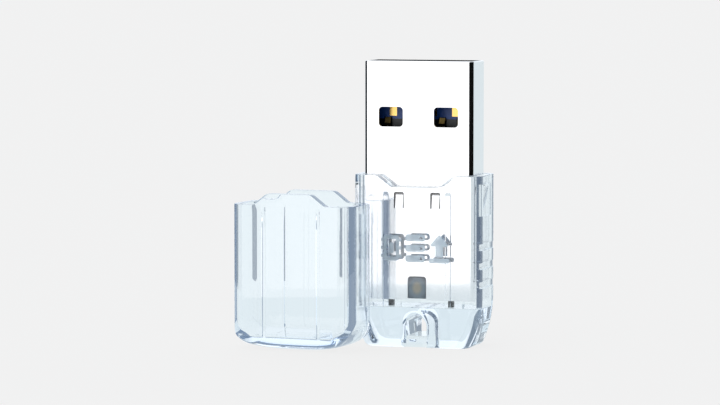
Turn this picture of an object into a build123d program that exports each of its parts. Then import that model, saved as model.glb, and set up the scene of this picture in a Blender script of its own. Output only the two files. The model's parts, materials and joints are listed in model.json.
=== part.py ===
from build123d import *
import math
import os

# USB flash drive with a clear housing and a clear pull-off cap.
# Frame: origin at the centre of the drive's foot, +Z along the drive towards the plug tip,
# +X across its width, -Y towards its printed front face. Millimetres.
# The drive stands on its end block. The cap stands beside it, open end up.

# ---------------------------------------------------------------- driving dimensions
# How far solids that are joined or cut reach into each other
OVERLAP = 0.1

# Housing
HOUSING_W = 14.0
HOUSING_T = 7.1
HOUSING_CORNER_R = 1.6
RIM_Z = 18.2
FLOOR_Z = 4.15
CAVITY_CORNER_R = 0.3
TAPER_Z = 5.3
TAPER_R = 12.0
FOOT_CORNER_R = 0.4
FOOT_EDGE_R = 0.55

# Trapezoid notch in the housing rim, and the cap tongue that drops into it
NOTCH_DEPTH = 1.2
NOTCH_TOP_HALF = 4.2
NOTCH_FOOT_HALF = 2.6
NOTCH_CORNER_R = 0.5
TONGUE_CLEARANCE = 0.12
TONGUE_CORNER_R = 0.35

# Side grips
GRIP_ZS = (6.7, 8.7, 10.7)
GRIP_HEIGHT = 0.73
GRIP_DEPTH = 0.2

# Guide ribs that hold the metal shell, and the play between shell and cavity
RIB_X = 3.42
RIB_W = 0.6
RIB_BELOW_NOTCH = 0.6
PLAY_X = 0.15
PLAY_Y = 0.12

# Pockets in the cavity's side walls for the shell's barbs
POCKET_X = 6.6
POCKET_Y = 1.5
POCKET_Z = (13.9, 17.3)

# Lanyard tunnel
TUNNEL_HALF = 1.2
TUNNEL_Z = 1.15
TUNNEL_SPRING_Z = 2.2
RECESS_HALF = 1.65
RECESS_SPRING_Z = 2.4
RECESS_DEPTH = 0.85

# Metal plug shell
SHELL_W = 12.0
SHELL_T = 4.5
SHELL_WALL = 0.3
SHELL_CORNER_R = 0.5
SHELL_TIP_R = 0.14
SHELL_Z = 5.0
TIP_Z = 30.2
WINDOW_X = 3.03
WINDOW_W = 2.65
WINDOW_Z = (23.25, 25.35)
WINDOW_CORNER_R = 0.4
LANCE_X = 2.0
LANCE_W = 1.1
LANCE_Z = (14.55, 16.25)
LANCE_PRESS = 0.3
BARB_W = 2.4
BARB_Z = (14.0, 17.0)
BARB_FLARE = 0.42
BARB_SLIT = 0.08
LANCE_SLIT = 0.14
LANCE_HOLE_R = 0.2
LED_NOTCH_W = 2.03
LED_NOTCH_TOP = 7.5
LED_NOTCH_R = 0.35
SEAM = (0.06, 0.08)

# Cap, in its own frame with its base centre at the origin
CAP_W = 13.8
CAP_T = 7.1
CAP_CORNER_R = 2.0
CAP_RIM_Z = 15.3
CAP_SIDE_WALL = 0.8
CAP_FACE_WALL = 1.0
CAP_FLOOR_Z = 1.35
CAP_FOOT_R = 2.9
CAP_FOOT_EDGE_R = 1.3
CAP_FACE_DOME = (5.5, 0.68)
CAP_SIDE_DOME = (2.6, 0.35)
CAP_FLAT_CUT = 0.05
CAP_INNER_R = 2.0
CAP_INNER_CORNER_R = 0.5
CAP_RIB_X = 3.1
CAP_RIB_W = 0.4
CAP_RIB_PROUD = 0.2
CAP_RIB_LEAD = (0.6, 2.6)
CAP_PLACE = (-11.2, -7.4)
CAP_YAW = -5.0

# Blue insulator and its contacts
CARRIER_W = 11.3
CARRIER_BASE_Z = (17.6, 20.6)
CARRIER_CHAMFER = 0.2
TONGUE_TIP_Z = 29.3
TONGUE_FACE_Y = 0.0
TONGUE_LEAD_IN = 0.35
TAIL_Z = 15.9

# USB 2 contacts: where the pad and its narrower tail lie across the tongue
USB2_XS = {"vbus": (3.45, 3.0), "data_minus": (1.0, 1.0), "data_plus": (-1.0, -1.0), "ground": (-3.45, -3.0)}
USB2_PAD_W = 0.8
USB2_TAIL_W = 0.6
USB2_PAD_Z = (24.3, 29.0)
USB2_THICK = 0.2
USB2_TAIL_Y = (0.25, 0.45)
USB2_JOG = 0.4
USB2_FOOT_TOP = 18.8

# SuperSpeed contacts: springs in slots of the tongue
SS_XS = {"ss_rx_minus": -4.0, "ss_rx_plus": -2.0, "ss_drain": 0.0, "ss_tx_minus": 2.0, "ss_tx_plus": 4.0}
SS_W = 0.6
SS_THICK = 0.15
SS_CREST = (-0.28, 23.55)
SS_TIP = (0.05, 24.1)
SS_SLOT_W = 0.9
SS_SLOT_Y = (-0.5, 1.3)

# Circuit board
BOARD_W = 10.8
BOARD_THICK = 0.8
BOARD_FRONT_Y = USB2_THICK
BOARD_BACK_Y = BOARD_FRONT_Y + BOARD_THICK
BOARD_Z = (5.5, CARRIER_BASE_Z[0])
BOARD_MID_Y = (BOARD_FRONT_Y + BOARD_BACK_Y) / 2
CASTELLATION_R, CASTELLATION_Z = 0.45, 15.6
TOOL_HOLE_R, TOOL_HOLE_X, TOOL_HOLE_Z = 0.3, 4.2, 6.3

# Components: sizes are (width, depth, height), places are (X, Z) of the centre on the board
LEAD_H = 0.1
CONTROLLER_SIZE = (5.0, 0.75, 5.0)
CONTROLLER_PLACE = (-1.7, 11.4)
CONTROLLER_PITCH = 0.6
CONTROLLER_PAD = (0.28, LEAD_H, 0.5)
PIN_ONE_R, PIN_ONE_INSET = 0.25, 0.6
CRYSTAL_SIZE = (2.5, 0.7, 2.0)
CRYSTAL_PLACE = (3.3, 14.2)
CRYSTAL_CORNER_R = 0.25
INDUCTOR_SIZE = (2.0, 1.0, 1.2)
INDUCTOR_PLACE = (-3.2, 14.75)
INDUCTOR_CORNER_R = 0.3
REGULATOR_SIZE = (1.5, 0.95, 2.6)
REGULATOR_PLACE = (3.4, 9.3)
REGULATOR_LEAD = (0.5, LEAD_H, 0.35)
REGULATOR_LEAD_X = 0.95
REGULATOR_PITCH = 0.9
LED_BASE = (0.8, 0.2, 1.6)
LED_LENS = (0.8, 0.4, 1.1)
LED_PLACE = (0.0, 6.45)
CAPACITOR_SIZE = (0.5, 0.5, 1.0)
CAPACITOR_PLACES = ((3.6, 12.2), (4.4, 12.2), (-4.6, 8.0), (-4.6, 9.2), (1.4, 14.3), (2.6, 6.3), (-2.6, 6.3))
RESISTOR_SIZE = (0.5, 0.35, 1.0)
RESISTOR_PLACES = ((-1.3, 6.6), (1.3, 6.6), (1.5, 12.0), (-4.7, 12.2), (-4.7, 13.6))
SOLDER_H = 0.15
SOLDER_LONG = 0.45
USB2_SOLDER_W = 0.7
SS_SOLDER_W = 0.5

# Flash memory on the back: package, solder balls and thermal pad
FLASH_SIZE = (9.0, 0.67, 7.5)
FLASH_Z = 10.3
BALL_R, BALL_H = 0.2, 0.15
BALL_PITCH = (1.15, 1.3)
THERMAL_PAD_HALF = (3.6, 3.0)

# Insulating film inside the shell's front wall
FILM_HALF_W = 5.2
FILM_THICK = 0.1
FILM_Z = (8.0, 13.9)

# Board holder: slotted rails, a bar below the board, and feet on the housing floor
HOLDER_RAIL_X = (5.0, 5.65)
HOLDER_Y = (-0.9, 1.5)
HOLDER_Z = (5.1, 14.5)
HOLDER_FOOT_X, HOLDER_FOOT_W = 3.3, 0.5
HOLDER_FOOT_Y = (-0.9, -0.3)
LED_WINDOW_HALF = 1.2
LED_WINDOW_Y = -0.45

# Frosted light pipe that fills the shell's LED notch in front of the LED
PIPE_W = 1.9
PIPE_Z = (5.15, 7.38)
PIPE_Y = (-2.2, LED_WINDOW_Y)
PIPE_R = 0.28

# Printed pictograms
MARK_Z = (9.0, 12.1)
MARK_THICK = 0.05
MARK_XS = (-2.55, 0.08, 2.71)
MARK_W = 2.25
MARK_H = 2.7
MARK_STROKE = 0.4


# ---------------------------------------------------------------- helpers
def block(x, y, z):
    """A box given by its (low, high) extents along each axis."""
    centre = Pos((x[0] + x[1]) / 2, (y[0] + y[1]) / 2, (z[0] + z[1]) / 2)
    return centre * Box(x[1] - x[0], y[1] - y[0], z[1] - z[0])


def centred(size, x, y, z):
    """A box of a (width, depth, height) size about a centre."""
    return Pos(x, y, z) * Box(*size)


def upright(width, thickness, radius, z):
    """A prism of rounded rectangle section between two heights."""
    return Pos(0, 0, z[0]) * extrude(RectangleRounded(width, thickness, radius), z[1] - z[0])


def through_y(sketch, y):
    """Extrude a sketch drawn in X and Z between two depths along Y."""
    return Pos(0, y[1], 0) * extrude(Plane.XZ * sketch, y[1] - y[0])


def through_x(sketch, x):
    """Extrude a sketch drawn in Y and Z between two places along X."""
    return Pos(x[0], 0, 0) * extrude(Plane.YZ * sketch, x[1] - x[0])


def rounded_polygon(points, radius):
    """A polygon face whose corners are all rounded alike."""
    face = make_face(Polyline(*points, close=True))
    return fillet(face.vertices(), radius)


def arch(half, foot_z, spring_z):
    """An opening with straight sides and a round top."""
    left = Line((-half, foot_z), (-half, spring_z))
    crown = ThreePointArc((-half, spring_z), (0, spring_z + half), (half, spring_z))
    right = Line((half, spring_z), (half, foot_z))
    return make_face([left, crown, right, Line((half, foot_z), (-half, foot_z))])


def trapezoid(top_half, foot_half, foot_z, top_z):
    """The rim notch outline; its upper corners lie above the rim."""
    slope = (top_half - foot_half) / NOTCH_DEPTH
    high = top_z - foot_z - NOTCH_DEPTH
    wide = top_half + slope * high
    return [(-foot_half, foot_z), (foot_half, foot_z), (wide, top_z), (-wide, top_z)]


def group(solids):
    """Separate solids that share one node."""
    return Compound(children=[solid for solid in solids])


# ---------------------------------------------------------------- housing
def housing_outline():
    """The front outline: straight sides drawn in by an arc towards the foot."""
    half = HOUSING_W / 2
    sweep = math.asin(TAPER_Z / TAPER_R)

    def at(angle):
        return (half - TAPER_R * (1 - math.cos(angle)), TAPER_Z - TAPER_R * math.sin(angle))

    right = ThreePointArc(at(0), at(sweep / 2), at(sweep))
    left = mirror(right, Plane.YZ)
    foot_half = at(sweep)[0]
    top = Polyline((half, TAPER_Z), (half, RIM_Z), (-half, RIM_Z), (-half, TAPER_Z))
    face = make_face([right, left, *top.edges(), Line((-foot_half, 0), (foot_half, 0))])
    return fillet(face.vertices().group_by(Axis.Y)[0], FOOT_CORNER_R)


def side_outline(thickness, top_z, edge_r):
    """The side outline: a rectangle with its two foot corners rounded."""
    face = Pos(0, top_z / 2) * Rectangle(thickness, top_z)
    return fillet(face.vertices().group_by(Axis.Y)[0], edge_r)


def make_housing():
    half_w = HOUSING_W / 2
    half_t = HOUSING_T / 2
    cavity_w = SHELL_W + 2 * PLAY_X
    cavity_t = SHELL_T + 2 * PLAY_Y
    body = upright(HOUSING_W, HOUSING_T, HOUSING_CORNER_R, (0, RIM_Z))
    body &= through_y(housing_outline(), (-half_t, half_t))
    body &= through_x(side_outline(HOUSING_T, RIM_Z, FOOT_EDGE_R), (-half_w, half_w))
    body -= upright(cavity_w, cavity_t, CAVITY_CORNER_R, (FLOOR_Z, RIM_Z + 1))

    notch = trapezoid(NOTCH_TOP_HALF, NOTCH_FOOT_HALF, RIM_Z - NOTCH_DEPTH, RIM_Z + 1)
    body -= through_y(rounded_polygon(notch, NOTCH_CORNER_R), (-half_t - 1, half_t + 1))

    for side in (-1, 1):
        for z in GRIP_ZS:
            body -= centred((2 * GRIP_DEPTH, HOUSING_T, GRIP_HEIGHT), side * half_w, 0, z)
        pocket_x = sorted((side * (cavity_w / 2 - OVERLAP), side * POCKET_X))
        body -= block(pocket_x, (-POCKET_Y, POCKET_Y), POCKET_Z)

    for x in (-RIB_X, RIB_X):
        for side in (-1, 1):
            rib_y = sorted((side * SHELL_T / 2, side * (cavity_t / 2 + OVERLAP)))
            rib_top = RIM_Z - NOTCH_DEPTH - RIB_BELOW_NOTCH
            body += block((x - RIB_W / 2, x + RIB_W / 2), rib_y, (FLOOR_Z, rib_top))

    body -= through_y(arch(TUNNEL_HALF, TUNNEL_Z, TUNNEL_SPRING_Z), (-half_t, half_t))
    for side in (-1, 1):
        recess_y = sorted((side * (half_t - RECESS_DEPTH), side * (half_t + 1)))
        body -= through_y(arch(RECESS_HALF, -1, RECESS_SPRING_Z), recess_y)
    return body


# ---------------------------------------------------------------- cap
def dome_radius(half_chord, sag):
    return (half_chord ** 2 + sag ** 2) / (2 * sag)


def domed_outline(half, top_z, dome, corner_r):
    """A tall outline on a shallow round foot, with rounded corners beside the foot."""
    radius = dome_radius(*dome)
    edge_z = radius - math.sqrt(radius ** 2 - half ** 2) - CAP_FLAT_CUT
    foot = ThreePointArc((-half, edge_z), (0, -CAP_FLAT_CUT), (half, edge_z))
    top = Polyline((half, edge_z), (half, top_z), (-half, top_z), (-half, edge_z))
    face = make_face([foot, *top.edges()])
    return fillet(face.vertices().group_by(Axis.Y)[0], corner_r)


def make_cap():
    half_w = CAP_W / 2
    half_t = CAP_T / 2
    inner_w = CAP_W - 2 * CAP_SIDE_WALL
    inner_t = CAP_T - 2 * CAP_FACE_WALL
    tongue_top = CAP_RIM_Z + NOTCH_DEPTH
    body = upright(CAP_W, CAP_T, CAP_CORNER_R, (0, tongue_top))
    body &= through_y(domed_outline(half_w, tongue_top, CAP_FACE_DOME, CAP_FOOT_R), (-half_t, half_t))
    body &= through_x(domed_outline(half_t, tongue_top, CAP_SIDE_DOME, CAP_FOOT_EDGE_R), (-half_w, half_w))

    open_z = tongue_top + 1
    hollow = upright(inner_w, inner_t, CAP_INNER_CORNER_R, (CAP_FLOOR_Z, open_z))
    floor_outline = Pos(0, (CAP_FLOOR_Z + open_z) / 2) * Rectangle(inner_w, open_z - CAP_FLOOR_Z)
    floor_outline = fillet(floor_outline.vertices().group_by(Axis.Y)[0], CAP_INNER_R)
    hollow &= through_y(floor_outline, (-half_t, half_t))
    body -= hollow

    # Ribs down the front and back walls, tapered to nothing at their upper ends
    wall_y = inner_t / 2
    crest_y = wall_y - CAP_RIB_PROUD
    lead_z = (CAP_RIM_Z - CAP_RIB_LEAD[0], CAP_RIM_Z - CAP_RIB_LEAD[1])
    rib_profile = [
        (wall_y + OVERLAP, CAP_FLOOR_Z - OVERLAP),
        (wall_y + OVERLAP, lead_z[0]),
        (wall_y, lead_z[0]),
        (crest_y, lead_z[1]),
        (crest_y, CAP_FLOOR_Z - OVERLAP),
    ]
    rib_face = make_face(Polyline(*rib_profile, close=True))
    for x in (-CAP_RIB_X, CAP_RIB_X):
        rib = through_x(rib_face, (x - CAP_RIB_W / 2, x + CAP_RIB_W / 2))
        body += rib
        body += mirror(rib, Plane.XZ)

    # Cut the rim down to its own height, leaving a tongue on the front and the back
    keep = through_y(rounded_polygon(tongue_points(tongue_top), TONGUE_CORNER_R), (-half_t, half_t))
    rim_band = block((-half_w, half_w), (-half_t, half_t), (CAP_RIM_Z, tongue_top))
    body -= rim_band - keep
    place = Pos(CAP_PLACE[0], CAP_PLACE[1], 0) * Rot(0, 0, CAP_YAW)
    return place * body


def tongue_points(tongue_top):
    """The tongue outline, reaching well below the rim so that only its top corners round."""
    foot_half = NOTCH_TOP_HALF - TONGUE_CLEARANCE
    top_half = NOTCH_FOOT_HALF - TONGUE_CLEARANCE
    slope = (foot_half - top_half) / NOTCH_DEPTH
    reach = 2.0
    low_half = foot_half + slope * reach
    low_z = CAP_RIM_Z - reach
    return [(-low_half, low_z), (low_half, low_z), (top_half, tongue_top), (-top_half, tongue_top)]


# ---------------------------------------------------------------- plug shell
def pressed_tab(width, z, press, wall):
    """A tab cut free on three sides and bent about its foot; built facing -Y."""
    height = z[1] - z[0]
    bend = math.degrees(math.atan(press / height))
    tab = centred((width, wall, height), 0, 0, height / 2)
    return Pos(0, 0, z[0]) * Rot(-bend, 0, 0) * tab


def make_plug_shell():
    inner_w = SHELL_W - 2 * SHELL_WALL
    inner_t = SHELL_T - 2 * SHELL_WALL
    face_y = SHELL_T / 2 - SHELL_WALL / 2
    side_x = SHELL_W / 2 - SHELL_WALL / 2
    shell = upright(SHELL_W, SHELL_T, SHELL_CORNER_R, (SHELL_Z, TIP_Z))
    tip_edges = shell.edges().group_by(Axis.Z)[-1]
    shell = fillet(tip_edges, SHELL_TIP_R)
    shell -= upright(inner_w, inner_t, SHELL_CORNER_R - SHELL_WALL, (SHELL_Z - 1, TIP_Z + 1))

    window_h = WINDOW_Z[1] - WINDOW_Z[0]
    for x in (-WINDOW_X, WINDOW_X):
        window = Pos(x, sum(WINDOW_Z) / 2) * RectangleRounded(WINDOW_W, window_h, WINDOW_CORNER_R)
        shell -= through_y(window, (-SHELL_T, SHELL_T))

    notch = Pos(0, LED_NOTCH_TOP / 2) * Rectangle(LED_NOTCH_W, LED_NOTCH_TOP)
    notch = fillet(notch.vertices().group_by(Axis.Y)[-1], LED_NOTCH_R)
    shell -= through_y(notch, (-SHELL_T, 0))

    # Lances: tongues pressed in from the front and back faces, free at the top
    for x in (-LANCE_X, LANCE_X):
        hole = Rectangle(LANCE_W, LANCE_Z[1] - LANCE_Z[0])
        hole = fillet(hole.vertices().group_by(Axis.Y)[-1], LANCE_HOLE_R)
        shell -= through_y(Pos(x, sum(LANCE_Z) / 2 + LANCE_SLIT) * hole, (-SHELL_T, SHELL_T))
        tab = pressed_tab(LANCE_W - 2 * LANCE_SLIT, LANCE_Z, LANCE_PRESS, SHELL_WALL)
        tab = Pos(x, -face_y, 0) * tab
        shell += tab
        shell += mirror(tab, Plane.XZ)

    # Barbs: tongues sprung out of the two side faces, free at the top
    for side in (-1, 1):
        hole_x = sorted((side * (SHELL_W / 2 - 2 * SHELL_WALL), side * (SHELL_W / 2 + OVERLAP)))
        shell -= block(hole_x, (-BARB_W / 2, BARB_W / 2), (BARB_Z[0] + BARB_SLIT, BARB_Z[1] + BARB_SLIT))
        barb = pressed_tab(BARB_W - 2 * BARB_SLIT, BARB_Z, -BARB_FLARE, SHELL_WALL)
        shell += Pos(side * side_x, 0, 0) * Rot(0, 0, side * 90) * barb

    # Rolled seam down the middle of the back face
    shell -= centred((SEAM[0], 2 * SEAM[1], TIP_Z), 0, SHELL_T / 2, TIP_Z / 2 + SHELL_Z)
    return shell


# ---------------------------------------------------------------- insulator and contacts
def make_usb2_contact(pad_x, tail_x):
    """A strip whose pad lies flush in the tongue's face, and whose tail dives under that face."""
    face_y = (TONGUE_FACE_Y, TONGUE_FACE_Y + USB2_THICK)
    jog_y = (TONGUE_FACE_Y, USB2_TAIL_Y[1])
    pad_low, pad_high = USB2_PAD_Z
    pad_span = (pad_x - USB2_PAD_W / 2, pad_x + USB2_PAD_W / 2)
    tail_span = (tail_x - USB2_TAIL_W / 2, tail_x + USB2_TAIL_W / 2)
    shared = (max(pad_span[0], tail_span[0]), min(pad_span[1], tail_span[1]))
    strip = block(pad_span, face_y, USB2_PAD_Z)
    strip += block(shared, jog_y, (pad_low, pad_low + USB2_JOG))
    strip += block(tail_span, USB2_TAIL_Y, (USB2_FOOT_TOP - USB2_JOG, pad_low + USB2_JOG))
    strip += block(tail_span, jog_y, (USB2_FOOT_TOP - USB2_JOG, USB2_FOOT_TOP))
    return strip + block(tail_span, face_y, (TAIL_Z, USB2_FOOT_TOP))


def make_ss_contact(x):
    """A sprung strip: soldered tail, bend through the insulator, raised contact point."""
    tail_y = BOARD_BACK_Y + SS_THICK / 2
    path = Polyline(
        (tail_y, TAIL_Z),
        (tail_y, CARRIER_BASE_Z[0] + 0.9),
        (0.55, CARRIER_BASE_Z[1] + 0.2),
        (0.45, CARRIER_BASE_Z[1] + 1.4),
        SS_CREST,
        SS_TIP,
    )
    return through_x(trace(path, SS_THICK), (x - SS_W / 2, x + SS_W / 2))


def make_contact_carrier(usb2_contacts):
    back_y = SHELL_T / 2 - SHELL_WALL
    half_w = CARRIER_W / 2
    base = block((-half_w, half_w), (-back_y, back_y), CARRIER_BASE_Z)
    tongue = block((-half_w, half_w), (TONGUE_FACE_Y, back_y), (CARRIER_BASE_Z[1], TONGUE_TIP_Z))
    lead_in = tongue.edges().filter_by(Axis.X).group_by(Axis.Z)[-1]
    base = chamfer(base.edges().filter_by(Axis.Z), CARRIER_CHAMFER)
    tongue = chamfer(lead_in, TONGUE_LEAD_IN)
    back_edges = tongue.edges().filter_by(Axis.Z).group_by(Axis.Y)[-1]
    carrier = base + chamfer(back_edges, CARRIER_CHAMFER)
    for contact in usb2_contacts:
        carrier -= contact
    for x in SS_XS.values():
        slot_z = (CARRIER_BASE_Z[0] - 1, USB2_PAD_Z[0] - OVERLAP)
        carrier -= block((x - SS_SLOT_W / 2, x + SS_SLOT_W / 2), SS_SLOT_Y, slot_z)
    return carrier


# ---------------------------------------------------------------- board and components
def on_front(size, place, lift=0.0):
    """A box of a (width, depth, height) size on the board's front, lifted off it by its leads."""
    return centred(size, place[0], BOARD_FRONT_Y - lift - size[1] / 2, place[1])


def beside(place, dx, dz):
    return (place[0] + dx, place[1] + dz)


def peg_along_y(radius, length):
    return Rot(90, 0, 0) * Cylinder(radius, length)


def make_main_board():
    board = block((-BOARD_W / 2, BOARD_W / 2), (BOARD_FRONT_Y, BOARD_BACK_Y), BOARD_Z)
    for side in (-1, 1):
        board -= Pos(side * BOARD_W / 2, BOARD_MID_Y, CASTELLATION_Z) * peg_along_y(CASTELLATION_R, 2)
        board -= Pos(side * TOOL_HOLE_X, BOARD_MID_Y, TOOL_HOLE_Z) * peg_along_y(TOOL_HOLE_R, 2)
    return board


def make_controller_chip():
    chip = on_front(CONTROLLER_SIZE, CONTROLLER_PLACE, LEAD_H)
    inset = CONTROLLER_SIZE[0] / 2 - PIN_ONE_INSET
    x, z = beside(CONTROLLER_PLACE, -inset, inset)
    face_y = BOARD_FRONT_Y - LEAD_H - CONTROLLER_SIZE[1]
    return chip - Pos(x, face_y, z) * peg_along_y(PIN_ONE_R, 0.2)


def make_controller_pads():
    wide, lead_h, tall = CONTROLLER_PAD
    edge = (CONTROLLER_SIZE[0] - wide) / 2
    pads = []
    for step in range(-3, 4):
        along = step * CONTROLLER_PITCH
        for side in (-edge, edge):
            pads.append(on_front(CONTROLLER_PAD, beside(CONTROLLER_PLACE, along, side)))
            pads.append(on_front((tall, lead_h, wide), beside(CONTROLLER_PLACE, side, along)))
    return group(pads)


def make_flash_chip():
    y = BOARD_BACK_Y + BALL_H + FLASH_SIZE[1] / 2
    return centred(FLASH_SIZE, 0, y, FLASH_Z)


def make_flash_balls():
    balls = []
    for column in range(-3, 4):
        for row in range(-2, 3):
            place = Pos(column * BALL_PITCH[0], BOARD_BACK_Y + BALL_H / 2, FLASH_Z + row * BALL_PITCH[1])
            balls.append(place * peg_along_y(BALL_R, BALL_H))
    return group(balls)


def make_crystal():
    can = on_front(CRYSTAL_SIZE, CRYSTAL_PLACE)
    return fillet(can.edges().filter_by(Axis.Y), CRYSTAL_CORNER_R)


def make_status_led():
    return on_front(LED_BASE, LED_PLACE) + on_front(LED_LENS, LED_PLACE, LED_BASE[1])


def make_light_pipe():
    half_h = (PIPE_Z[1] - PIPE_Z[0]) / 2
    outline = Pos(0, PIPE_Z[0] + half_h) * Rectangle(PIPE_W, 2 * half_h)
    return through_y(fillet(outline.vertices().group_by(Axis.Y)[-1], PIPE_R), PIPE_Y)


def make_capacitors():
    return group([on_front(CAPACITOR_SIZE, place) for place in CAPACITOR_PLACES])


def make_resistors():
    return group([on_front(RESISTOR_SIZE, place) for place in RESISTOR_PLACES])


def make_power_inductor():
    coil = on_front(INDUCTOR_SIZE, INDUCTOR_PLACE)
    return fillet(coil.edges().filter_by(Axis.Y), INDUCTOR_CORNER_R)


def make_voltage_regulator():
    return on_front(REGULATOR_SIZE, REGULATOR_PLACE, LEAD_H)


def make_regulator_leads():
    leads = []
    for row in (-1, 0, 1):
        for side in (-REGULATOR_LEAD_X, REGULATOR_LEAD_X):
            leads.append(on_front(REGULATOR_LEAD, beside(REGULATOR_PLACE, side, row * REGULATOR_PITCH)))
    return group(leads)


def make_solder_joints():
    """A joint on the end of every contact's tail, on the front and the back of the board."""
    z = TAIL_Z - SOLDER_LONG / 2
    joints = [on_front((USB2_SOLDER_W, SOLDER_H, SOLDER_LONG), (tail_x, z)) for _, tail_x in USB2_XS.values()]
    for x in SS_XS.values():
        joints.append(centred((SS_SOLDER_W, SOLDER_H, SOLDER_LONG), x, BOARD_BACK_Y + SOLDER_H / 2, z))
    return group(joints)


def make_board_holder():
    """Black carrier: two slotted rails, a bar under the board and two feet on the housing floor."""
    low_z, high_z = HOLDER_Z
    outer_x = HOLDER_RAIL_X[1]
    holder = block((-outer_x, outer_x), HOLDER_Y, (low_z, BOARD_Z[0]))
    for side in (-1, 1):
        rail_x = sorted(side * x for x in HOLDER_RAIL_X)
        foot_x = (side * HOLDER_FOOT_X - HOLDER_FOOT_W / 2, side * HOLDER_FOOT_X + HOLDER_FOOT_W / 2)
        holder += block(rail_x, HOLDER_Y, (low_z, high_z))
        holder += block(foot_x, HOLDER_FOOT_Y, (FLOOR_Z, low_z))
    holder -= block((-BOARD_W / 2, BOARD_W / 2), (BOARD_FRONT_Y, BOARD_BACK_Y), BOARD_Z)
    return holder - block((-LED_WINDOW_HALF, LED_WINDOW_HALF), (-SHELL_T, LED_WINDOW_Y), (0, high_z))


def make_insulating_film():
    inner_y = -(SHELL_T / 2 - SHELL_WALL)
    return block((-FILM_HALF_W, FILM_HALF_W), (inner_y, inner_y + FILM_THICK), FILM_Z)


def make_thermal_pad():
    half_w, half_h = THERMAL_PAD_HALF
    front = BOARD_BACK_Y + BALL_H + FLASH_SIZE[1]
    back = SHELL_T / 2 - SHELL_WALL
    return block((-half_w, half_w), (front, back), (FLASH_Z - half_h, FLASH_Z + half_h))


# ---------------------------------------------------------------- printed pictograms
def ink(sketch, x):
    """Raise a pictogram, drawn about its own centre, on the housing's front face."""
    face = Pos(x, sum(MARK_Z) / 2) * sketch
    return through_y(face, (-HOUSING_T / 2 - MARK_THICK, -HOUSING_T / 2))


def make_mark_chip():
    """A memory chip seen from above: square ring with three legs on each side, and a dot in the middle."""
    inner = (MARK_W - 1.25, MARK_H - 2 * MARK_STROKE)
    sketch = RectangleRounded(MARK_W - 0.5, MARK_H, 0.3)
    for z in (-0.85, 0.0, 0.85):
        sketch += Pos(0, z) * Rectangle(MARK_W, 0.85 * MARK_STROKE)
    sketch -= RectangleRounded(*inner, 0.15)
    sketch += RectangleRounded(0.5, 1.1, 0.12)
    return ink(sketch, MARK_XS[0])


def make_mark_stack():
    """Three stacked plates, each with a pin hole, for storage."""
    sketch = Sketch()
    for z in (-1.1, 0.0, 1.1):
        plate = RectangleRounded(MARK_W - 0.1, 0.72, 0.3) - Pos(0.65, 0) * Circle(0.16)
        sketch += Pos(0, z) * plate
    return ink(sketch, MARK_XS[1])


def make_mark_arrow():
    """An arrow pointing up at the plug over a base line."""
    head = make_face(Polyline((-1.1, 0.25), (1.1, 0.25), (0, 1.5), close=True))
    sketch = fillet(head.vertices(), 0.15) + Pos(0, -0.25) * Rectangle(2 * MARK_STROKE, 1.3)
    sketch += Pos(0, -1.27) * RectangleRounded(MARK_W, 0.5, 0.2)
    return ink(sketch, MARK_XS[2])


# ---------------------------------------------------------------- assembly
def build_nodes():
    usb2 = {name + "_contact": make_usb2_contact(*places) for name, places in USB2_XS.items()}
    nodes = {
        "housing": make_housing(),
        "cap": make_cap(),
        "plug_shell": make_plug_shell(),
        "contact_carrier": make_contact_carrier(usb2.values()),
        "main_board": make_main_board(),
        "controller_chip": make_controller_chip(),
        "controller_pads": make_controller_pads(),
        "flash_chip": make_flash_chip(),
        "flash_balls": make_flash_balls(),
        "crystal": make_crystal(),
        "status_led": make_status_led(),
        "light_pipe": make_light_pipe(),
        "capacitors": make_capacitors(),
        "resistors": make_resistors(),
        "power_inductor": make_power_inductor(),
        "voltage_regulator": make_voltage_regulator(),
        "regulator_leads": make_regulator_leads(),
        "solder_joints": make_solder_joints(),
        "board_holder": make_board_holder(),
        "insulating_film": make_insulating_film(),
        "thermal_pad": make_thermal_pad(),
        "mark_chip": make_mark_chip(),
        "mark_stack": make_mark_stack(),
        "mark_arrow": make_mark_arrow(),
    }
    nodes.update(usb2)
    for name, x in SS_XS.items():
        nodes[name + "_contact"] = make_ss_contact(x)
    return nodes


os.makedirs("parts", exist_ok=True)
for node_name, shape in build_nodes().items():
    export_step(shape, f"parts/{node_name}.step")
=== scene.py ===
import json
import math

import bmesh
import bpy
from mathutils import Matrix, Vector


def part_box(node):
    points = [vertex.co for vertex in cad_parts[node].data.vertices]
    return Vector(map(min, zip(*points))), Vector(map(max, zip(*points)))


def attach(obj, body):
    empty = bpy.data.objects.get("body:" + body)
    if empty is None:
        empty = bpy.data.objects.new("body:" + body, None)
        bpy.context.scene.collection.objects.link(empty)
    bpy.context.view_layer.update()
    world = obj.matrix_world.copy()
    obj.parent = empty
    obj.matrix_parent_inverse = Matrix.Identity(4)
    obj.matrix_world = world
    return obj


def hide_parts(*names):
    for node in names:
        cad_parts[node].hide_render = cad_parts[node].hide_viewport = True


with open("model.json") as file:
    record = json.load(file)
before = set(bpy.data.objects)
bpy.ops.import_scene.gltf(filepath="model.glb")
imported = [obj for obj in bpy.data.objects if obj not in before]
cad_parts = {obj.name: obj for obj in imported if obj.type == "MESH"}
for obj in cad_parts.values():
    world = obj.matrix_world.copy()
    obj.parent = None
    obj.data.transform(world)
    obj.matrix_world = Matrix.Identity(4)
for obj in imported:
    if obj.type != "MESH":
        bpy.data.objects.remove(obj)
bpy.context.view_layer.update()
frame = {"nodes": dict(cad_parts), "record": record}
MM = 0.001


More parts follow.
